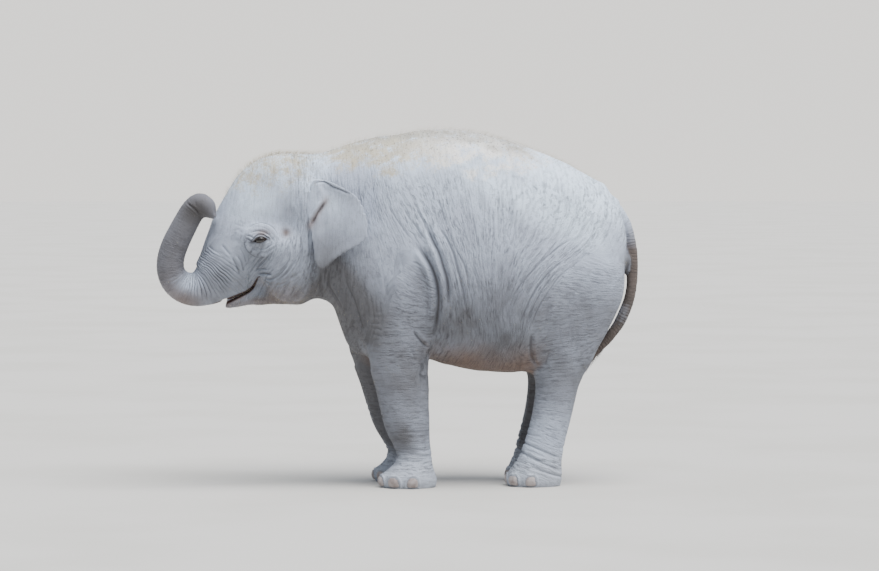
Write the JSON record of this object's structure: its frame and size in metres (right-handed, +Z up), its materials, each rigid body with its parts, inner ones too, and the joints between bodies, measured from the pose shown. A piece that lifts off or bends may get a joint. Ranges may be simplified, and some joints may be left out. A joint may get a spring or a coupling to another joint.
{
  "type": "young asian elephant model",
  "caption": "Life-size still model of a young Asian elephant standing square, trunk curled up before its face, ears laid back, tail tucked between the hind legs.",
  "frame": {"origin": "on the floor, under the middle of the animal's box", "axes": "+X from head to tail along the body, +Y towards the animal's right side, +Z up"},
  "size_m": [2.096, 0.68, 1.5414],
  "materials": {
    "hide": "matte, finely wrinkled dusty hide",
    "ear_hide": "matte thin hide with soft folds",
    "nail": "worn horn, satin",
    "eye": "wet gloss",
    "tuft": "coarse dark hair"
  },
  "bodies": {
    "root": {"torso": "hide", "neck": "hide", "front_left_forearm": "hide", "front_left_lower_leg": "hide", "front_left_foot": "hide", "front_left_nail_1": "nail", "front_left_nail_2": "nail", "front_left_nail_3": "nail", "front_left_nail_4": "nail", "front_left_nail_5": "nail", "hind_left_shank": "hide", "hind_left_lower_leg": "hide", "hind_left_foot": "hide", "hind_left_nail_1": "nail", "hind_left_nail_2": "nail", "hind_left_nail_3": "nail", "hind_left_nail_4": "nail", "front_right_forearm": "hide", "front_right_lower_leg": "hide", "front_right_foot": "hide", "front_right_nail_1": "nail", "front_right_nail_2": "nail", "front_right_nail_3": "nail", "front_right_nail_4": "nail", "front_right_nail_5": "nail", "hind_right_shank": "hide", "hind_right_lower_leg": "hide", "hind_right_foot": "hide", "hind_right_nail_1": "nail", "hind_right_nail_2": "nail", "hind_right_nail_3": "nail", "hind_right_nail_4": "nail", "head": "hide", "lower_jaw": "hide", "eye_left": "eye", "eye_right": "eye", "trunk_upper": "hide", "trunk_middle": "hide", "trunk_lower": "hide", "ear_left": "ear_hide", "ear_right": "ear_hide", "tail": "hide", "tail_tuft": "tuft"}
  },
  "joints": []
}
